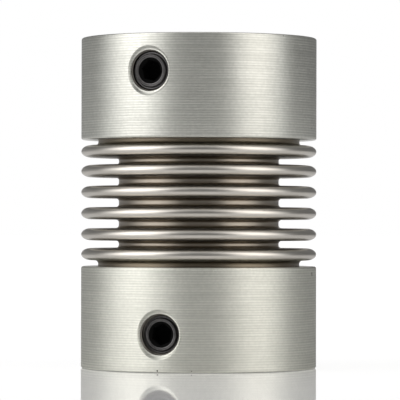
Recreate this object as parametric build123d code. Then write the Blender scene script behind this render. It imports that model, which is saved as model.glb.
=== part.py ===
from build123d import *
import math
import os

# Set-screw bellows coupling, millimetres. The shaft axis is Z. The origin is the centre of the
# lower hub's end face, and the front, which both visible set screws face, is -Y.

# Hubs, turned from aluminium bar
hub_diameter = 25.0
hub_length = 10.8
bore_diameter = 10.0
bore_chamfer = 0.4
edge_break = 0.2

# Seat in each hub's bellows face, which the bellows' cuff is bonded into
seat_rim = 1.75             # wall left around the seat
seat_depth = 2.0
bond_gap = 0.05             # adhesive film around the cuff

# Bellows, formed from thin stainless tube
convolutions = 6
convolution_height = 4.0    # from crest to root, outside
crest_width = 1.28          # outside, across one convolution
crest_reach = 1.0           # radial length of its half-elliptical tip
convolution_gap = 0.89      # clear width between neighbouring crests
root_gap = 0.78             # and at the bottom, where the flanks come closer
end_gap = 0.635             # from a hub's face to the first convolution
neck_radius = 0.4           # outside of the bend where the cuff meets that convolution
bellows_wall = 0.15
crest_flat_count = 3        # flats that stand for the round of a crest
root_flat_count = 1         # and for the round of a root or neck

# M4 set screws, two to a hub
screw_diameter = 4.0
screw_length = 6.0
screw_height = 3.9          # from the hub's end face to the screw's axis
lower_recess = 0.75         # of the lower hub's screws below its surface
upper_recess = 0.5
screw_spacing = 120.0       # degrees between a hub's two screws
screw_edge = 0.35           # chamfer around the driven end
screw_clearance = 0.02      # between the screw and its tapped hole
lower_bearing = 19.3        # degrees from the front to the first screw, seen from above
upper_bearing = 24.8
mouth_diameter = 5.2        # countersink of each tapped hole
socket_sides = 6
socket_width = 2.0          # across the flats of the hex
socket_depth = 2.0
socket_drill_depth = 0.5    # drill point at the bottom of the hex
socket_mouth = 2.7          # lead-in around the hex
lower_turns = [22.0, 40.0]  # degrees from level to a corner of each screw's hex
upper_turns = [13.7, -9.0]
cup_diameter = 2.0          # rim that bites into the shaft
cup_depth = 0.5

hub_radius = hub_diameter / 2
bore_radius = bore_diameter / 2
seat_radius = hub_radius - seat_rim
cuff_radius = seat_radius - bond_gap
screw_radius = screw_diameter / 2

root_radius = root_gap / 2
pitch = crest_width + convolution_gap
bellows_span = 2 * end_gap + (convolutions - 1) * pitch + crest_width
coupling_length = 2 * hub_length + bellows_span
middle = Plane.XY.offset(coupling_length / 2)


def turned(profile, axis):
    """Revolve a closed outline of (x, z) points in the XZ plane once round the axis."""
    corners = [(x, 0, z) for x, z in profile]
    return revolve(make_face(Polyline(*corners, close=True)), axis, 360)


# Hubs

def tapped_hole():
    """Cutter along +X: a tapped hole with a countersunk mouth at the hub's surface."""
    hole_radius = screw_radius + screw_clearance
    sink_depth = mouth_diameter / 2 - hole_radius
    clear = hub_radius + sink_depth
    return turned([
        (0, 0),
        (0, hole_radius),
        (hub_radius - sink_depth, hole_radius),
        (clear, mouth_diameter / 2 + sink_depth),
        (clear, 0),
    ], Axis.X)


def hub(bearings):
    """A hub with its end face at z = 0 and its bellows face up."""
    seat_floor = hub_length - seat_depth
    body = turned([
        (bore_radius + bore_chamfer, 0),
        (hub_radius - edge_break, 0),
        (hub_radius, edge_break),
        (hub_radius, hub_length - edge_break),
        (hub_radius - edge_break, hub_length),
        (seat_radius, hub_length),
        (seat_radius, seat_floor),
        (bore_radius + bore_chamfer, seat_floor),
        (bore_radius, seat_floor - bore_chamfer),
        (bore_radius, bore_chamfer),
    ], Axis.Z)
    for bearing in bearings:
        body -= Pos(Z=screw_height) * Rot(Z=bearing) * tapped_hole()
    return body


# Set screws

def set_screw(bearing, recess, turn):
    """A cup-point socket set screw in its hole in the lower hub."""
    top = hub_radius - recess
    end = top - screw_length
    floor = top - socket_depth
    screw = turned([
        (top, 0),
        (top, screw_radius - screw_edge),
        (top - screw_edge, screw_radius),
        (end + screw_radius - cup_diameter / 2, screw_radius),
        (end, cup_diameter / 2),
        (end + cup_depth, 0),
    ], Axis.X)
    flat_up = turn - 180 / socket_sides
    hexagon = RegularPolygon(socket_width / 2, socket_sides, major_radius=False, rotation=flat_up)
    screw -= Pos(X=top) * Rot(Y=90) * extrude(hexagon, -socket_depth)
    lead_in = [(top, 0), (top, socket_mouth / 2), (top - socket_mouth / 2, 0)]
    drill_point = [(floor, 0), (floor, socket_width / 2), (floor - socket_drill_depth, 0)]
    screw -= turned(lead_in, Axis.X) + turned(drill_point, Axis.X)
    return Pos(Z=screw_height) * Rot(Z=bearing) * screw


# Bellows

def bend(x, z, reach, height, start, end, flats):
    """Corners of a bend about (x, z) whose flats all touch an ellipse with these semi-axes."""
    step = (end - start) / (flats + 1)
    outside = 1 / math.cos(math.radians(step / 2))
    angles = [math.radians(start + (n + 0.5) * step) for n in range(flats + 1)]
    return [(x + reach * outside * math.cos(a), z + height * outside * math.sin(a)) for a in angles]


def skin(inset):
    """The bellows' section from cuff to cuff, as far inside its outer surface as the inset."""
    first_crest = hub_length + end_gap + crest_width / 2
    neck_x = cuff_radius + neck_radius
    neck_z = hub_length + end_gap - neck_radius
    crest_x = hub_radius - crest_reach
    root_x = hub_radius - convolution_height + root_radius
    crest = crest_width / 2 - inset
    root = root_radius + inset
    neck = neck_radius + inset

    points = [(cuff_radius - inset, hub_length - seat_depth)]
    points += bend(neck_x, neck_z, neck, neck, 180, 90, root_flat_count)
    for n in range(convolutions):
        z = first_crest + n * pitch
        if n:
            points += bend(root_x, z - pitch / 2, root, root, 270, 90, root_flat_count)
        points += bend(crest_x, z, crest_reach - inset, crest, -90, 90, crest_flat_count)
    points += bend(neck_x, coupling_length - neck_z, neck, neck, 270, 180, root_flat_count)
    points += [(cuff_radius - inset, coupling_length - hub_length + seat_depth)]
    return points


def bellows():
    return turned(skin(0) + skin(bellows_wall)[::-1], Axis.Z)


def screw_bearings(first):
    """Bearings of a hub's two screws, counter-clockwise from +X. The second is behind the first."""
    return [-90 - first, -90 - first - screw_spacing]


lower = screw_bearings(lower_bearing)
upper = screw_bearings(upper_bearing)

parts = {
    "lower_hub": hub(lower),
    "upper_hub": mirror(hub(upper), about=middle),
    "bellows": bellows(),
}
for number in (1, 2):
    place = number - 1
    parts[f"lower_set_screw_{number}"] = set_screw(lower[place], lower_recess, lower_turns[place])
    upper_screw = set_screw(upper[place], upper_recess, upper_turns[place])
    parts[f"upper_set_screw_{number}"] = mirror(upper_screw, about=middle)

os.makedirs("parts", exist_ok=True)
for name, shape in parts.items():
    export_step(shape, f"parts/{name}.step")
print(f"coupling length {coupling_length:.2f} mm, pitch {pitch:.2f} mm")
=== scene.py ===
import math
import bmesh
import bpy
from mathutils import Matrix, Vector


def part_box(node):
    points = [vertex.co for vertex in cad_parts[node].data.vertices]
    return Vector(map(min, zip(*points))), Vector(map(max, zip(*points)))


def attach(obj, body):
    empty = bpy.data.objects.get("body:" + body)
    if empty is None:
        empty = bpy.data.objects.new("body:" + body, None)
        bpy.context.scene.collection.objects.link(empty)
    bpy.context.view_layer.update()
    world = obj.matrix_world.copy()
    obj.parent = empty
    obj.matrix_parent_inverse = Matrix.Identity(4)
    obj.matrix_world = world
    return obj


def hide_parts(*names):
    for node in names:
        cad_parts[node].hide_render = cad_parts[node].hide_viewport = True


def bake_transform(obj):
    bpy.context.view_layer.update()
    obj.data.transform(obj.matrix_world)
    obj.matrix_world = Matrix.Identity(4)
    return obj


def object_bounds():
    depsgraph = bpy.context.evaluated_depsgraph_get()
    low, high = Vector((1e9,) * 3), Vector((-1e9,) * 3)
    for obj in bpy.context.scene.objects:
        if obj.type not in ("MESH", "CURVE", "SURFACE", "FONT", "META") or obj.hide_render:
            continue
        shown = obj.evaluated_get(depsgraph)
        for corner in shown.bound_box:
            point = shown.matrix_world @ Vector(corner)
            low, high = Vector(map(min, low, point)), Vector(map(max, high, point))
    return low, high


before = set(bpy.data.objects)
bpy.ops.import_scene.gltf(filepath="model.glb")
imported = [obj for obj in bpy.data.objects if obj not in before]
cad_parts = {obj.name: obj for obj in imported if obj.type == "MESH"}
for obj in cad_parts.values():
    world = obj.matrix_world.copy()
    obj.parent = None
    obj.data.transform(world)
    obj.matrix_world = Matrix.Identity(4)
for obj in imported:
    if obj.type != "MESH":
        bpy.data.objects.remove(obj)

# Set-screw bellows coupling standing on a white table. Every size below is in millimetres or
# degrees unless its note says otherwise. The shaft axis is Z and the front is -Y.

mm = 0.001
scene = bpy.context.scene

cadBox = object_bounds()
couplingLength = cadBox[1].z / mm
middle = couplingLength / 2
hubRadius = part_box("lower_hub")[1].x / mm
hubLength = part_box("lower_hub")[1].z / mm
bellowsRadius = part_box("bellows")[1].x / mm
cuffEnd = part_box("bellows")[0].z / mm       # where the lower cuff sits on its seat's floor
print("coupling: frame loaded")


# Shaping. Pieces are shaped in millimetres and finishPiece brings them down to metres.

nearness = {                    # points closer than this count as one
    "seam": 0.0004,             # where a turned shape closes
    "cut": 0.0002,              # after a cut
    "axis": 0.0001,             # to the axis of a turned shape
}


def revolve(bm, steps):
    # once round Z, with the seam and any pole closed
    bmesh.ops.spin(
        bm,
        geom=bm.verts[:] + bm.edges[:],
        cent=(0, 0, 0),
        axis=(0, 0, 1),
        dvec=(0, 0, 0),
        angle=math.tau,
        steps=steps,
        use_merge=True,
    )
    bmesh.ops.remove_doubles(bm, verts=bm.verts[:], dist=nearness["seam"])
    bmesh.ops.recalc_face_normals(bm, faces=bm.faces[:])


def turnedShape(corners, steps, segments=3):
    # corners are (radius, height, rounding) round a closed outline
    bm = bmesh.new()
    verts = [bm.verts.new((x, 0, z)) for x, z, rounding in corners]
    bm.faces.new(verts)
    for rounding in sorted({corner[2] for corner in corners if corner[2]}):
        soft = [vert for vert, corner in zip(verts, corners) if corner[2] == rounding]
        bmesh.ops.bevel(
            bm,
            geom=soft,
            offset=rounding,
            offset_type="OFFSET",
            segments=segments,
            profile=0.5,
            affect="VERTICES",
            material=-1,
        )
    bmesh.ops.delete(bm, geom=bm.faces[:], context="FACES_ONLY")
    onAxis = [edge for edge in bm.edges if all(vert.co.x < nearness["axis"] for vert in edge.verts)]
    bmesh.ops.delete(bm, geom=onAxis, context="EDGES")
    revolve(bm, steps)
    return bm


def addPiece(bm, name, sharpAngle=32):
    mesh = bpy.data.meshes.new(name)
    bm.to_mesh(mesh)
    bm.free()
    mesh.shade_smooth()
    mesh.set_sharp_from_angle(angle=math.radians(sharpAngle))
    piece = bpy.data.objects.new(name, mesh)
    scene.collection.objects.link(piece)
    return piece


def cutAway(piece, cutter, sharpAngle=32):
    # cutter is taken out of piece, and then it is gone
    cut = piece.modifiers.new("cut", "BOOLEAN")
    cut.operation = "DIFFERENCE"
    cut.solver = "EXACT"
    cut.object = cutter
    graph = bpy.context.evaluated_depsgraph_get()
    mesh = bpy.data.meshes.new_from_object(piece.evaluated_get(graph))
    bm = bmesh.new()
    bm.from_mesh(mesh)
    bmesh.ops.remove_doubles(bm, verts=bm.verts[:], dist=nearness["cut"])
    bm.to_mesh(mesh)
    bm.free()
    piece.modifiers.clear()
    piece.data = mesh
    mesh.name = piece.name
    mesh.shade_smooth()
    mesh.set_sharp_from_angle(angle=math.radians(sharpAngle))
    bpy.data.objects.remove(cutter)


def shadeInside(piece, place, radius, top):
    # faces wholly within radius of the hole's axis and below top take the piece's second material, a painted
    # shade
    back = place.inverted()
    inside = set()
    for vert in piece.data.vertices:
        spot = back @ vert.co
        if spot.xy.length < radius and 0 < spot.z < top:
            inside.add(vert.index)
    for face in piece.data.polygons:
        if inside.issuperset(face.vertices):
            face.material_index = 1


def finishPiece(piece, node):
    piece.data.transform(Matrix.Scale(mm, 4))
    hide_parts(node)


def radialPlace(bearing, height):
    # takes a shape made along +Z out along a radius of the coupling
    lift = Matrix.Translation((0, 0, height))
    turn = Matrix.Rotation(math.radians(bearing), 4, "Z")
    return lift @ turn @ Matrix.Rotation(math.pi / 2, 4, "Y")


def threadCorners(start, end, thread):
    # V thread from start to end along the height, in step with every other thread made here
    crest, root, pitch = thread["crest"], thread["root"], thread["pitch"]
    corners = []
    turn = math.ceil(start / pitch * 2)
    while turn * pitch / 2 < end:
        corners.append((root if turn % 2 else crest, turn * pitch / 2, 0))
        turn += 1
    return corners


# Materials

def addNode(tree, kind, inputs, **settings):
    node = tree.nodes.new("ShaderNode" + kind)
    for name, value in settings.items():
        setattr(node, name, value)
    for name, value in inputs.items():
        if isinstance(value, bpy.types.NodeSocket):
            tree.links.new(value, node.inputs[name])
        else:
            node.inputs[name].default_value = value
    return node


def newMaterial(name):
    material = bpy.data.materials.new(name)
    material.use_nodes = True
    tree = material.node_tree
    return material, tree, tree.nodes["Principled BSDF"]


def millimetrePlace(tree):
    place = addNode(tree, "TexCoord", {}).outputs["Object"]
    inputs = {"Vector": place, "Scale": (1 / mm, 1 / mm, 1 / mm)}
    return addNode(tree, "Mapping", inputs).outputs["Vector"]


def blendNumber(tree, factor, low, high):
    node = addNode(tree, "MapRange", {"Value": factor, "To Min": low, "To Max": high})
    return node.outputs["Result"]


def lookingRay(tree):
    # 1 for whatever is seen straight, in a reflection or through a clear piece
    path = addNode(tree, "LightPath", {}).outputs
    seen = addNode(tree, "Math", {0: path["Is Camera Ray"], 1: path["Is Glossy Ray"]}, operation="ADD")
    seen = addNode(tree, "Math", {0: seen.outputs[0], 1: path["Is Transmission Ray"]}, operation="ADD")
    return seen.outputs[0]


def blendColours(tree, factor, stops):
    # stops are (position, colour) from the lowest position to the highest
    ramp = addNode(tree, "ValToRGB", {"Fac": factor})
    elements = ramp.color_ramp.elements
    for element, (position, colour) in zip(elements, (stops[0], stops[-1])):
        element.position = position
        element.color = (*colour, 1)
    for position, colour in stops[1:-1]:
        elements.new(position).color = (*colour, 1)
    return ramp.outputs["Color"]


def blendColour(tree, factor, first, second):
    return blendColours(tree, factor, ((0, first), (1, second)))


upperFinish = {
    "valley": (0.492, 0.50, 0.46),
    "ridge": (0.755, 0.76, 0.708),
    "feed": 0.2675,             # from one tool mark to the next
    "depth": 0.009,
    "smooth": 0.40,             # lowest and highest roughness, 0 to 1
    "dull": 0.50,
    "directional": 0.75,
    "faced": 0.32,              # roughness of the end faces
    "turnedUp": 0.7,            # a surface whose normal rises less than this is a turned side
    "facedUp": 0.95,            # and one whose normal rises more is an end face
    "streaks": 0.6,             # height of fine streaks beside that of the tool marks
    "patchy": 0.65,             # how far the marks fade and deepen along their way
}
# the lower hub is rougher, and its colours are painted lighter than the upper hub's to stand in for light
# thrown up from the table
lowerFinishPaintedLighter = upperFinish | {
    "valley": (0.61, 0.617, 0.562),
    "ridge": (0.84, 0.845, 0.778),
    "smooth": 0.52,
    "dull": 0.62,
}


def turnedAluminium(name, finish):
    material, tree, shader = newMaterial(name)
    place = millimetrePlace(tree)
    waveScale = math.tau / 20 / finish["feed"]      # at scale 1 the waves are tau / 20 apart
    marks = []
    for kind, direction in (("BANDS", "bands_direction"), ("RINGS", "rings_direction")):
        settings = {"wave_type": kind, "wave_profile": "SIN", direction: "Z"}
        inputs = {"Vector": place, "Scale": waveScale}
        inputs |= {"Distortion": 0.5, "Detail": 1.0, "Detail Scale": 0.4}
        marks.append(addNode(tree, "TexWave", inputs, **settings).outputs["Fac"])
    feed = addNode(tree, "Math", {0: marks[0], 1: marks[1]}, operation="ADD").outputs[0]
    stretched = addNode(tree, "Mapping", {"Vector": place, "Scale": (0.12, 0.12, 9)}).outputs["Vector"]
    streaks = addNode(tree, "TexNoise", {"Vector": stretched, "Scale": 1.0, "Detail": 3.0}).outputs["Fac"]
    cloud = addNode(tree, "TexNoise", {"Vector": place, "Scale": 0.35, "Detail": 4.0}).outputs["Fac"]
    inputs = {0: streaks, 1: finish["streaks"], 2: feed}
    height = addNode(tree, "Math", inputs, operation="MULTIPLY_ADD").outputs[0]
    tint = addNode(tree, "Math", {0: feed, 1: streaks}, operation="MULTIPLY").outputs[0]
    grit = addNode(tree, "TexNoise", {"Vector": place, "Scale": 3.0, "Detail": 2.0}).outputs["Fac"]
    grit = blendNumber(tree, grit, 1 - finish["patchy"], 1 + finish["patchy"])
    tint = addNode(tree, "Math", {0: tint, 1: grit}, operation="MULTIPLY").outputs[0]
    inputs = {"Height": height, "Strength": 1.0, "Distance": finish["depth"] * mm}
    bump = addNode(tree, "Bump", inputs)
    tangent = addNode(tree, "Tangent", {}, direction_type="RADIAL", axis="Z")
    normal = addNode(tree, "TexCoord", {}).outputs["Normal"]
    upright = addNode(tree, "SeparateXYZ", {0: normal}).outputs["Z"]
    upright = addNode(tree, "Math", {0: upright}, operation="ABSOLUTE").outputs[0]
    rough = blendNumber(tree, cloud, finish["smooth"], finish["dull"])
    inputs = {"Value": upright, "From Min": finish["turnedUp"], "From Max": finish["facedUp"]}
    inputs |= {"To Min": rough, "To Max": finish["faced"]}
    rough = addNode(tree, "MapRange", inputs).outputs["Result"]
    colour = blendColour(tree, tint, finish["valley"], finish["ridge"])
    tree.links.new(colour, shader.inputs["Base Color"])
    tree.links.new(rough, shader.inputs["Roughness"])
    tree.links.new(bump.outputs["Normal"], shader.inputs["Normal"])
    tree.links.new(tangent.outputs["Tangent"], shader.inputs["Tangent"])
    shader.inputs["Metallic"].default_value = 1.0
    shader.inputs["Anisotropic"].default_value = finish["directional"]
    shader.inputs["Anisotropic Rotation"].default_value = 0.25
    return material


formedFinish = {
    "bright": (0.655, 0.63, 0.582),
    "shade": (0.56, 0.534, 0.488),
    "paintedFoldShade": (                 # painted shade in the folds: what is left of the colour, from the bottom of a fold, 0, to a crest, 1
        (0.0, (0.68, 0.64, 0.59)),
        (0.3, (0.68, 0.64, 0.59)),
        (0.54, (0.52, 0.48, 0.42)),
        (0.75, (1, 1, 1)),
    ),
    "paintedNeckShade": (0.68, 0.65, 0.61),    # and, on top of that, painted shade round the necks by the hubs
    "neckShadeFade": (-0.05, 0.1),   # where that painted shade starts and is full, beyond the last convolution
    "smooth": 0.28,
    "dull": 0.32,
}


def formedStainless():
    material, tree, shader = newMaterial("formedStainless")
    place = millimetrePlace(tree)
    stretched = addNode(tree, "Mapping", {"Vector": place, "Scale": (0.1, 0.1, 6)}).outputs["Vector"]
    drawn = addNode(tree, "TexNoise", {"Vector": stretched, "Scale": 1.0, "Detail": 4.0}).outputs["Fac"]
    cloud = addNode(tree, "TexNoise", {"Vector": place, "Scale": 0.5, "Detail": 3.0}).outputs["Fac"]
    flat = addNode(tree, "Mapping", {"Vector": place, "Scale": (1, 1, 0)}).outputs["Vector"]
    radius = addNode(tree, "VectorMath", {0: flat}, operation="LENGTH").outputs["Value"]
    rootRadius = bellowsRadius - bellows["height"]
    inputs = {"Value": radius, "From Min": rootRadius, "From Max": bellowsRadius}
    rise = addNode(tree, "MapRange", inputs).outputs["Result"]
    metal = blendColour(tree, drawn, formedFinish["shade"], formedFinish["bright"])
    # painted shade: the folds and flanks darker than the crests
    fold = blendColours(tree, rise, formedFinish["paintedFoldShade"])
    height = addNode(tree, "SeparateXYZ", {0: place}).outputs["Z"]
    away = addNode(tree, "Math", {0: height, 1: middle}, operation="SUBTRACT").outputs[0]
    away = addNode(tree, "Math", {0: away}, operation="ABSOLUTE").outputs[0]
    neck = middle - hubLength - bellows["endGap"]
    fadeStart, fadeEnd = formedFinish["neckShadeFade"]
    inputs = {"Value": away, "From Min": neck + fadeStart, "From Max": neck + fadeEnd}
    byHub = addNode(tree, "MapRange", inputs).outputs["Result"]
    neckShadeColour = blendColour(tree, byHub, (1, 1, 1), formedFinish["paintedNeckShade"])
    # the painted fold shade and neck shade darken the drawn metal's colour
    colour = metal
    for paintedShade in (fold, neckShadeColour):
        inputs = {"Fac": 1.0, "Color1": colour, "Color2": paintedShade}
        colour = addNode(tree, "MixRGB", inputs, blend_type="MULTIPLY").outputs["Color"]
    rough = blendNumber(tree, cloud, formedFinish["smooth"], formedFinish["dull"])
    tree.links.new(colour, shader.inputs["Base Color"])
    tree.links.new(rough, shader.inputs["Roughness"])
    shader.inputs["Metallic"].default_value = 1.0
    return material


oxideFinish = {
    "dark": (0.055, 0.053, 0.052),
    "worn": (0.158, 0.154, 0.155),
    "smooth": 0.28,
    "dull": 0.42,
    "depth": 0.004,             # of its grain
}


def blackOxide():
    material, tree, shader = newMaterial("blackOxide")
    place = millimetrePlace(tree)
    grain = addNode(tree, "TexNoise", {"Vector": place, "Scale": 2.2, "Detail": 5.0}).outputs["Fac"]
    inputs = {"Height": grain, "Strength": 0.4, "Distance": oxideFinish["depth"] * mm}
    bump = addNode(tree, "Bump", inputs)
    colour = blendColour(tree, grain, oxideFinish["dark"], oxideFinish["worn"])
    rough = blendNumber(tree, grain, oxideFinish["smooth"], oxideFinish["dull"])
    tree.links.new(colour, shader.inputs["Base Color"])
    tree.links.new(rough, shader.inputs["Roughness"])
    tree.links.new(bump.outputs["Normal"], shader.inputs["Normal"])
    shader.inputs["Metallic"].default_value = 1.0
    return material


# painted shade for the insides of holes
deepShade = {
    "paintedThreadShade": {
        "dark": (0.119, 0.112, 0.1001),
        "light": (0.17, 0.16, 0.143),
        "metal": 1.0,
        "smooth": 0.3,
        "dull": 0.46,
    },
    "paintedSocketShade": {
        "dark": (0.0014, 0.0014, 0.0014),
        "light": (0.002, 0.002, 0.002),
        "metal": 0.0,
        "smooth": 0.72,
        "dull": 0.88,
    },
}


def shadedMetal(name):
    # painted shade: dark metal for the thread flanks and the broached walls of a socket, both seen only deep
    # in a hole
    shade = deepShade[name]
    material, tree, shader = newMaterial(name)
    place = millimetrePlace(tree)
    grain = addNode(tree, "TexNoise", {"Vector": place, "Scale": 3.0, "Detail": 4.0}).outputs["Fac"]
    colour = blendColour(tree, grain, shade["dark"], shade["light"])
    rough = blendNumber(tree, grain, shade["smooth"], shade["dull"])
    tree.links.new(colour, shader.inputs["Base Color"])
    tree.links.new(rough, shader.inputs["Roughness"])
    shader.inputs["Metallic"].default_value = shade["metal"]
    shader.inputs["Specular IOR Level"].default_value = 0.1
    return material


upperHubMetal = turnedAluminium("upperTurnedAluminium", upperFinish)
# painted lighter than the upper hub's metal
lowerHubMetalPaintedLighter = turnedAluminium("lowerAluminiumPaintedLighter", lowerFinishPaintedLighter)
threadShadeMetal = shadedMetal("paintedThreadShade")
screwMetal = blackOxide()
socketShadeMetal = shadedMetal("paintedSocketShade")
print("coupling: materials made")


# Hubs

hub = {
    "boreRadius": 5.0,
    "boreChamfer": 0.4,
    "edge": 0.22,               # rounding of the outer edges
    "boreEdge": 0.04,           # and of the bore's
    "seatRadius": 10.75,
    "seatEdge": 0.06,
    "seatDepth": 2.0,
    "steps": 512,
}
tappedHole = {
    "mouth": 2.6,               # radius at the hub's surface
    "lip": 2.28,                # radius where the countersink flattens
    "lipDepth": 0.36,
    "threadMouth": 2.14,        # radius where the thread starts
    "sinkDepth": 0.385,
    "crest": 1.66,
    "root": 2.06,
    "soft": 0.02,               # rounding of its small edges
    "sinkEdge": 0.03,
    "relief": 0.7,              # part between the countersink and the first full thread
    "ring": 0.14,               # height of the thread's first turn in it
    "ringDepths": (0.26, 0.2, 0.1),     # where that turn ends, stands highest and starts
    "pitch": 0.7,
    "shadeMargin": 0.01,        # beyond the thread's mouth, so that its rim is shaded too
    "reach": 1.0,               # from the shaft's axis to the cutter's inner end
    "overcut": 1.0,             # and from the hub's surface to its outer end
    "height": 3.9,              # from the hub's end face to the hole's axis
    "steps": 96,
}
lowerBearings = (-109.3, -229.3)    # counter-clockwise from +X, seen from above
upperBearings = (-114.8, -234.8)
lowerNicks = (                  # bearing, height, half width and half height, and if it takes the hub's darker second material
    (-82.9, 10.51, 0.07, 0.16, False),
    (-17.6, 10.05, 0.14, 0.26, True),
    (-109.7, 0.2, 0.09, 0.09, True),
    (-93.2, 0.19, 0.06, 0.06, True),
)
upperNicks = ((-45.8, 34.83, 0.11, 0.09, False), (-19.0, 25.4, 0.06, 0.06, True))


def hubCorners(flip):
    seatFloor = hubLength - hub["seatDepth"]
    bore, chamfer = hub["boreRadius"], hub["boreChamfer"]
    edge, boreEdge = hub["edge"], hub["boreEdge"]
    corners = [
        (bore + chamfer, 0, boreEdge),
        (hubRadius, 0, edge),
        (hubRadius, hubLength, edge),
        (hub["seatRadius"], hubLength, hub["seatEdge"]),
        (hub["seatRadius"], seatFloor, 0),
        (bore + chamfer, seatFloor, boreEdge),
        (bore, seatFloor - chamfer, boreEdge),
        (bore, chamfer, boreEdge),
    ]
    return [(x, couplingLength - z if flip else z, rounding) for x, z, rounding in corners]


def holeCutter(bearings, height):
    sinkFloor = hubRadius - tappedHole["sinkDepth"]
    reliefFloor = sinkFloor - tappedHole["relief"]
    slope = (tappedHole["mouth"] - tappedHole["lip"]) / tappedHole["lipDepth"]
    crest, root, mouth = tappedHole["crest"], tappedHole["root"], tappedHole["threadMouth"]
    reach, over, soft = tappedHole["reach"], tappedHole["overcut"], tappedHole["soft"]
    ringEnd, ringCrest, ringStart = tappedHole["ringDepths"]
    corners = [(0, reach, 0), (crest, reach, 0)]
    corners += threadCorners(reach, reliefFloor, tappedHole)
    corners += [
        (root, reliefFloor, 0),
        (root, sinkFloor - ringEnd, soft),
        (mouth - tappedHole["ring"], sinkFloor - ringCrest, soft),
        (mouth, sinkFloor - ringStart, soft),
        (mouth, sinkFloor, tappedHole["sinkEdge"]),
        (tappedHole["lip"], hubRadius - tappedHole["lipDepth"], soft),
        (tappedHole["mouth"] + slope * over, hubRadius + over, 0),
        (0, hubRadius + over, 0),
    ]
    cutter = bmesh.new()
    for bearing in bearings:
        hole = turnedShape(corners, tappedHole["steps"])
        bmesh.ops.transform(hole, matrix=radialPlace(bearing, height), verts=hole.verts[:])
        passing = bpy.data.meshes.new("hole")
        hole.to_mesh(passing)
        hole.free()
        cutter.from_mesh(passing)
        bpy.data.meshes.remove(passing)
    return addPiece(cutter, "holeCutter")


def nickCutter(nicks):
    # dents from handling, each a small stretched ball that bites into the surface
    bm = bmesh.new()
    for bearing, height, wide, tall, darkFilled in nicks:
        turn = Matrix.Rotation(math.radians(bearing), 4, "Z")
        spot = turn @ Matrix.Translation((hubRadius, 0, height))
        spot @= Matrix.Diagonal((wide, wide, tall, 1))
        ball = bmesh.ops.create_icosphere(bm, subdivisions=2, radius=1, matrix=spot)["verts"]
        for face in {face for vert in ball for face in vert.link_faces}:
            face.material_index = 1 if darkFilled else 0
    return addPiece(bm, "nickCutter")


def makeHub(name, metal, body, node, flip, bearings, nicks):
    piece = addPiece(turnedShape(hubCorners(flip), hub["steps"], segments=4), name)
    piece.data.materials.append(metal)
    piece.data.materials.append(threadShadeMetal)
    height = couplingLength - tappedHole["height"] if flip else tappedHole["height"]
    cutAway(piece, holeCutter(bearings, height))
    cutAway(piece, nickCutter(nicks))
    # the threads in the tapped holes take painted shade, a dark metal
    threaded = tappedHole["threadMouth"] + tappedHole["shadeMargin"]
    for bearing in bearings:
        sinkFloor = hubRadius - tappedHole["sinkDepth"]
        shadeInside(piece, radialPlace(bearing, height), threaded, sinkFloor)
    finishPiece(piece, node)
    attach(piece, body)


makeHub("lowerHub", lowerHubMetalPaintedLighter, "lower", "lower_hub", False, lowerBearings, lowerNicks)
makeHub("upperHub", upperHubMetal, "upper", "upper_hub", True, upperBearings, upperNicks)
print("coupling: hubs turned and tapped")


# Set screws

setScrew = {
    "length": 6.0,
    "face": 1.62,               # radius of the flat ring round the socket
    "faceEdge": 0.04,           # rounding of its outer edge
    "chamfer": 0.4,
    "chamferCuts": ((0.4, 0), (0.3, 0), (0.24, 0.07), (0.17, 0)),   # depth, and how deep the thread cuts in
    "chamferSoft": 0.015,
    "crest": 1.99,
    "root": 1.6,
    "pitch": 0.7,
    "groove": 1.5,              # radius of the tool mark in the face
    "grooveHalf": 0.05,         # half its width
    "grooveDepth": 0.01,
    "grooveSoft": 0.01,         # rounding of its edges
    "grooveSlope": (0.3, 0.7),  # shares of the dish at its outer and inner edge
    "dish": 0.08,               # how far the face falls towards the socket
    "mouthEdge": 0.02,
    "socketMouth": 1.36,
    "leadIn": 1.3,              # how deep the mouth's cone would come to its point
    "socketFlats": 2.0,
    "socketDepth": 2.0,
    "drillDepth": 0.5,
    "drillInset": 0.03,         # from the hex's flats to the drill point's rim
    "drillSunk": 0.01,          # how far that rim lies under the socket's floor
    "drillOver": 0.1,           # how far its cutter stands above the floor
    "socketOver": 0.5,          # and the hex cutter above the screw
    "cupRadius": 1.0,
    "cupDepth": 0.5,
    "pointEnd": 0.6,            # from the cup's rim to where the point is as wide as the thread's root
    "threadEnd": 0.7,           # and to the thread
    "steps": 96,
}


def screwCorners(top):
    end = top - setScrew["length"]
    shoulder = top - setScrew["chamfer"]
    slope = (setScrew["crest"] - setScrew["face"]) / setScrew["chamfer"]
    groove, half, dish = setScrew["groove"], setScrew["grooveHalf"], setScrew["dish"]
    outer, inner = setScrew["grooveSlope"]
    depth, soft = setScrew["grooveDepth"], setScrew["grooveSoft"]
    corners = [
        (0, end + setScrew["cupDepth"], 0),
        (setScrew["cupRadius"], end, 0),
        (setScrew["root"], end + setScrew["pointEnd"], 0),
    ]
    corners += threadCorners(end + setScrew["threadEnd"], shoulder, setScrew)
    for below, inset in setScrew["chamferCuts"]:
        x = setScrew["face"] + slope * below - inset
        corners.append((x, top - below - inset, setScrew["chamferSoft"]))
    corners += [
        (setScrew["face"], top, setScrew["faceEdge"]),
        (groove + half, top - dish * outer, soft),
        (groove, top - dish - depth, soft),
        (groove - half, top - dish * inner, soft),
        (setScrew["socketMouth"], top - dish, setScrew["mouthEdge"]),
        (0, top - setScrew["leadIn"], 0),
    ]
    return corners


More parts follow.
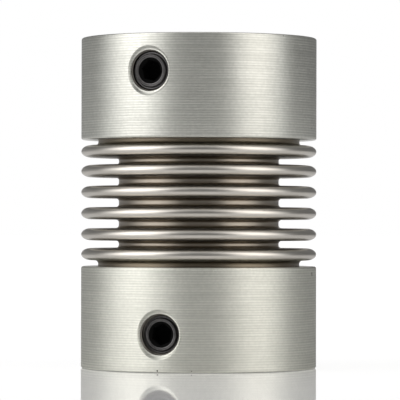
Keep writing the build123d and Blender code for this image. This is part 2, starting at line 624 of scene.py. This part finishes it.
def socketCutter(top, turn):
    flats = setScrew["socketFlats"] / 2
    corner = flats / math.cos(math.pi / 6)
    rise = setScrew["socketDepth"] + setScrew["socketOver"]
    bm = bmesh.new()
    ring = bmesh.ops.create_circle(bm, cap_ends=True, radius=corner, segments=6)["verts"]
    spin = Matrix.Rotation(math.radians(turn), 3, "Z")
    bmesh.ops.rotate(bm, cent=(0, 0, 0), matrix=spin, verts=ring)
    bmesh.ops.translate(bm, vec=(0, 0, top - setScrew["socketDepth"]), verts=ring)
    floor = bm.faces[:]
    wall = bmesh.ops.extrude_face_region(bm, geom=floor)["geom"]
    risen = [item for item in wall if isinstance(item, bmesh.types.BMVert)]
    bmesh.ops.translate(bm, vec=(0, 0, rise), verts=risen)
    bmesh.ops.recalc_face_normals(bm, faces=bm.faces[:])
    return bm


def drillCutter(top):
    # the cone's rim lies just under the socket's floor, so that no edge lies in the floor's plane
    floor = top - setScrew["socketDepth"]
    rim = setScrew["socketFlats"] / 2 - setScrew["drillInset"]
    above = floor + setScrew["drillOver"]
    sunk = floor - setScrew["drillSunk"]
    tip = floor - setScrew["drillDepth"]
    corners = [(0, tip, 0), (rim, sunk, 0), (rim, above, 0), (0, above, 0)]
    return turnedShape(corners, setScrew["steps"] // 2)


def makeScrew(name, body, node, bearing, height, recess, turn):
    top = hubRadius - recess
    place = radialPlace(bearing, height)
    shank = turnedShape(screwCorners(top), setScrew["steps"])
    bmesh.ops.transform(shank, matrix=place, verts=shank.verts[:])
    piece = addPiece(shank, name)
    for cutter in (socketCutter(top, turn), drillCutter(top)):
        bmesh.ops.transform(cutter, matrix=place, verts=cutter.verts[:])
        cutAway(piece, addPiece(cutter, "cutter"))
    piece.data.materials.append(screwMetal)
    piece.data.materials.append(socketShadeMetal)
    # the socket's walls take painted shade, near black
    shadeInside(piece, place, setScrew["socketMouth"], top - setScrew["dish"])
    finishPiece(piece, node)
    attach(piece, body)


lowHeight = tappedHole["height"]
highHeight = couplingLength - tappedHole["height"]
setScrews = (                   # ending in bearing, height, depth under the hub's surface and turn of the hex
    ("lowerSetScrewFront", "lower", "lower_set_screw_1", lowerBearings[0], lowHeight, 0.75, 22),
    ("lowerSetScrewBack", "lower", "lower_set_screw_2", lowerBearings[1], lowHeight, 0.75, 40),
    ("upperSetScrewFront", "upper", "upper_set_screw_1", upperBearings[0], highHeight, 0.5, -13.7),
    ("upperSetScrewBack", "upper", "upper_set_screw_2", upperBearings[1], highHeight, 0.5, 9),
)
for row in setScrews:
    makeScrew(*row)
print("coupling: set screws cut")


# Bellows

bellows = {
    "width": 1.28,              # outside, across one convolution
    "reach": 1.0,               # radial length of its half-elliptical tip
    "gap": 0.89,                # clear width between neighbouring crests
    "rootGap": 0.82,            # and at the bottom, where the flanks come closer
    "rootReach": 0.3,           # radial length of a root's half-elliptical bottom
    "rootLand": 0.07,           # half the width of the straight part in its middle
    "drift": (0.0, -0.07, -0.01, 0.07, 0.12, 0.05),     # of each convolution from even spacing
    "height": 4.0,              # from crest to root
    "endGap": 0.635,            # from a hub's face to the nearest convolution
    "neck": 0.4,
    "cuffRadius": 10.7,
    "wall": 0.15,
    "crestSteps": 20,
    "rootSteps": 10,
    "steps": 224,
}


def skinChain():
    # the outer skin's section in the XZ plane, drawn upwards from the lower cuff's end
    bm = bmesh.new()
    tip = bm.verts.new((bellows["cuffRadius"], 0, cuffEnd))

    def lineTo(x, z):
        nonlocal tip
        tip = bmesh.ops.extrude_vert_indiv(bm, verts=[tip])["verts"][0]
        tip.co = (x, 0, z)

    def bendAbout(x, z, angle, steps, reach=1):
        # a positive angle turns the section from -Z through +X to +Z, and reach stretches it along X
        nonlocal tip
        earlier = set(bm.verts) - {tip}
        tip.co.x = x + (tip.co.x - x) / reach
        spun = bmesh.ops.spin(
            bm,
            geom=[tip],
            cent=(x, 0, z),
            axis=(0, 1, 0),
            dvec=(0, 0, 0),
            angle=math.radians(-angle),
            steps=steps,
        )
        tip = [item for item in spun["geom_last"] if isinstance(item, bmesh.types.BMVert)][0]
        for vert in set(bm.verts) - earlier:
            vert.co.x = x + (vert.co.x - x) * reach

    crest, gap, neck = bellows["width"] / 2, bellows["gap"], bellows["neck"]
    crestX = bellowsRadius - bellows["reach"]
    land = bellows["rootLand"]
    rootHalf = bellows["rootGap"] / 2
    rootBend = rootHalf - land
    rootReach = bellows["rootReach"]
    rootX = bellowsRadius - bellows["height"] + rootReach
    neckX = bellows["cuffRadius"] + neck
    base = hubLength + bellows["endGap"]
    pitch = 2 * crest + gap
    lineTo(bellows["cuffRadius"], base - neck)
    bendAbout(neckX, base - neck, -90, bellows["rootSteps"])
    below = 0
    for number, drift in enumerate(bellows["drift"]):
        z = base + crest + number * pitch + drift
        if number:
            root = (below + z) / 2
            lean = (z - below - pitch) / 2      # how much wider than an even one this gap is, each way
            lineTo(rootX, root - rootHalf - lean)
            bendAbout(rootX, root - land - lean, -90, bellows["rootSteps"], rootReach / rootBend)
            lineTo(rootX - rootReach, root + land + lean)
            bendAbout(rootX, root + land + lean, -90, bellows["rootSteps"], rootReach / rootBend)
        below = z
        lineTo(crestX, z - crest)
        bendAbout(crestX, z, 180, bellows["crestSteps"], bellows["reach"] / crest)
    lineTo(neckX, couplingLength - base)
    bendAbout(neckX, couplingLength - base + neck, -90, bellows["rootSteps"])
    lineTo(bellows["cuffRadius"], couplingLength - cuffEnd)
    return bm


def bellowsHalf(keepLower):
    bm = skinChain()
    revolve(bm, bellows["steps"])
    widest = max(bm.faces, key=lambda face: face.calc_center_median().xy.length)
    if widest.normal.dot(widest.calc_center_median()) < 0:
        bmesh.ops.reverse_faces(bm, faces=bm.faces[:])
    bmesh.ops.bisect_plane(
        bm,
        geom=bm.verts[:] + bm.edges[:] + bm.faces[:],
        dist=0,
        plane_co=(0, 0, middle),
        plane_no=(0, 0, 1),
        clear_outer=keepLower,
        clear_inner=not keepLower,
    )
    bmesh.ops.solidify(bm, geom=bm.faces[:], thickness=bellows["wall"])
    return bm


def makeBellows():
    halves = (
        ("bellowsLower", True, "lower", "bellows", hubLength, middle),
        ("bellowsUpper", False, "bellows", "upper", middle, couplingLength - hubLength),
    )
    for name, keepLower, first, second, start, end in halves:
        piece = addPiece(bellowsHalf(keepLower), name, sharpAngle=50)
        piece.data.materials.append(bellowsMetal)
        finishPiece(piece, "bellows")
        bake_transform(piece)


bellowsMetal = formedStainless()
makeBellows()
print("coupling: bellows formed")


# Table and studio. Lengths here are metres.

table = {
    "radius": 3.0,
    "colour": (0.8, 0.8, 0.8),
    "gloss": 0.04,
    "refraction": 1.45,
    "glow": 0.09,               # keeps the table white without lighting what stands on it
    "drop": 0.00001,
}


def makeTable():
    bm = bmesh.new()
    bmesh.ops.create_circle(bm, cap_ends=True, radius=table["radius"], segments=96)
    bmesh.ops.translate(bm, vec=(0, 0, -table["drop"]), verts=bm.verts[:])
    piece = addPiece(bm, "table")
    material, tree, shader = newMaterial("whiteTable")
    shader.inputs["Base Color"].default_value = (*table["colour"], 1)
    shader.inputs["Roughness"].default_value = table["gloss"]
    shader.inputs["IOR"].default_value = table["refraction"]
    shader.inputs["Emission Color"].default_value = (1, 1, 1, 1)
    glow = blendNumber(tree, lookingRay(tree), 0.0, table["glow"])
    tree.links.new(glow, shader.inputs["Emission Strength"])
    piece.data.materials.append(material)


lamps = {                       # bearing is from the front towards +X, height is above the table's plane
    "left": {
        "bearing": -67,
        "height": 30,
        "width": 1.0,
        "tall": 0.86,
        "power": 4.2,
        "tint": (1.0, 0.965, 0.95),
    },
    "right": {
        "bearing": 61,
        "height": 30,
        "width": 0.84,
        "tall": 0.86,
        "power": 2.6,
        "tint": (1.0, 0.93, 0.87),
    },
}
lampFade = 0.4                  # share of a lamp's width that fades out at each side
lampDistance = 0.8


def makeLamps():
    for name, lamp in lamps.items():
        side, rise = math.radians(lamp["bearing"]), math.radians(lamp["height"])
        spot = Vector((math.sin(side), -math.cos(side), 0)) * math.cos(rise)
        spot.z = math.sin(rise)
        data = bpy.data.lights.new(name + "Softbox", "AREA")
        data.shape = "RECTANGLE"
        data.size = lamp["width"]
        data.size_y = lamp["tall"]
        data.energy = lamp["power"]
        data.color = lamp["tint"]
        data.use_nodes = True
        tree = data.node_tree
        across = addNode(tree, "NewGeometry", {}).outputs["Parametric"]
        across = addNode(tree, "SeparateXYZ", {0: across}).outputs["X"]
        across = addNode(tree, "Math", {0: across, 1: 0.5}, operation="SUBTRACT").outputs[0]
        across = addNode(tree, "Math", {0: across}, operation="ABSOLUTE").outputs[0]
        inputs = {"Value": across, "From Min": 0.5, "From Max": 0.5 - lampFade}
        fade = addNode(tree, "MapRange", inputs, interpolation_type="SMOOTHSTEP").outputs["Result"]
        tree.links.new(fade, tree.nodes["Emission"].inputs["Strength"])
        light = bpy.data.objects.new(name + "Softbox", data)
        light.location = spot * lampDistance + Vector((0, 0, middle * mm))
        light.rotation_euler = spot.to_track_quat("Z", "Y").to_euler()
        light.visible_camera = False
        scene.collection.objects.link(light)


cards = {
    "frontLow": {"start": -41, "end": 42, "bottom": 0.0, "top": 0.26, "level": 0.06},
    "front": {"start": -46, "end": 45, "bottom": 0.26, "top": 1.3, "level": 0.26},
    "frontHigh": {"start": -46, "end": 45, "bottom": 1.3, "top": 3.6, "level": 0.32},
    "back": {"start": 168, "end": 192, "bottom": 0.13, "top": 1.3, "level": 0.08},
    "backLeft": {"start": -168, "end": -97, "bottom": -0.1, "top": 0.3, "level": 0.27},
    "backLeftHigh": {"start": -168, "end": -98, "bottom": 0.3, "top": 3.6, "level": 0.16},
    "backRight": {"start": 85, "end": 168, "bottom": -0.1, "top": 3.6, "level": 0.17},
}
cardDistance = 0.95
cardFade = 18.0                 # degrees over which a card's upright edges thin out
meeting = 168                   # bearing from which edges meet the next card's and stay whole
cardSteps = 24


def fadedGlow(name, card):
    material = bpy.data.materials.new(name + "Card")
    material.use_nodes = True
    tree = material.node_tree
    tree.nodes.clear()
    place = addNode(tree, "TexCoord", {}).outputs["Object"]
    place = addNode(tree, "SeparateXYZ", {0: place}).outputs
    back = addNode(tree, "Math", {0: place["Y"], 1: -1.0}, operation="MULTIPLY").outputs[0]
    bearing = addNode(tree, "Math", {0: place["X"], 1: back}, operation="ARCTAN2").outputs[0]
    solid = 1.0
    for edge, inward in (("start", 1), ("end", -1)):
        if abs(card[edge]) < meeting:
            outer = math.radians(card[edge])
            inner = math.radians(card[edge] + inward * cardFade)
            inputs = {"Value": bearing, "From Min": outer, "From Max": inner}
            part = addNode(tree, "MapRange", inputs, interpolation_type="SMOOTHSTEP").outputs["Result"]
            solid = addNode(tree, "Math", {0: part, 1: solid}, operation="MULTIPLY").outputs[0]
    level = card["level"]
    glow = addNode(tree, "Emission", {"Color": (level, level, level, 1), "Strength": 1.0}).outputs[0]
    clear = addNode(tree, "BsdfTransparent", {}).outputs[0]
    both = addNode(tree, "MixShader", {0: solid, 1: clear, 2: glow}).outputs[0]
    addNode(tree, "OutputMaterial", {"Surface": both})
    return material


def makeCards():
    # dark cards that only reflections see: they draw the grey bands between the softboxes
    for name, card in cards.items():
        bm = bmesh.new()
        foot = bm.verts.new((0, -cardDistance, card["bottom"]))
        head = bm.verts.new((0, -cardDistance, card["top"]))
        edge = bm.edges.new((foot, head))
        turn = Matrix.Rotation(math.radians(card["start"]), 3, "Z")
        bmesh.ops.rotate(bm, cent=(0, 0, 0), matrix=turn, verts=[foot, head])
        bmesh.ops.spin(
            bm,
            geom=[foot, head, edge],
            cent=(0, 0, 0),
            axis=(0, 0, 1),
            dvec=(0, 0, 0),
            angle=math.radians(card["end"] - card["start"]),
            steps=cardSteps,
        )
        piece = addPiece(bm, name + "Card")
        piece.data.materials.append(fadedGlow(name, card))
        piece.visible_camera = False
        piece.visible_diffuse = False
        piece.visible_shadow = False
        piece.visible_transmission = False


worldLight = {"lit": 0.6, "seen": 1.0}      # strength as light on things, and as what is seen


def makeWorld():
    world = bpy.data.worlds.new("studio")
    scene.world = world
    world.use_nodes = True
    tree = world.node_tree
    background = tree.nodes["Background"]
    strength = blendNumber(tree, lookingRay(tree), worldLight["lit"], worldLight["seen"])
    background.inputs["Color"].default_value = (1, 1, 1, 1)
    tree.links.new(strength, background.inputs["Strength"])


view = {
    "lens": 285.0,
    "sensor": 36.0,
    "distance": 337.0,
    "eyeHeight": 15.5,
    "aimHeight": 17.84,
    "aside": 0.13,
    "roll": 0.12,
    "nearest": 0.01,            # clipping distances, in metres
    "farthest": 20.0,
}


def makeCamera():
    data = bpy.data.cameras.new("camera")
    data.lens = view["lens"]
    data.sensor_width = view["sensor"]
    data.clip_start = view["nearest"]
    data.clip_end = view["farthest"]
    camera = bpy.data.objects.new("camera", data)
    eye = Vector((view["aside"], -view["distance"], view["eyeHeight"])) * mm
    aim = Vector((view["aside"], 0, view["aimHeight"])) * mm
    look = (aim - eye).to_track_quat("-Z", "Y").to_matrix()
    roll = Matrix.Rotation(math.radians(view["roll"]), 3, "Z")
    camera.matrix_world = Matrix.Translation(eye) @ (look @ roll).to_4x4()
    scene.collection.objects.link(camera)
    scene.camera = camera


makeTable()
makeLamps()
makeCards()
makeWorld()
makeCamera()
scene.view_settings.view_transform = "Standard"
print("coupling: studio set")
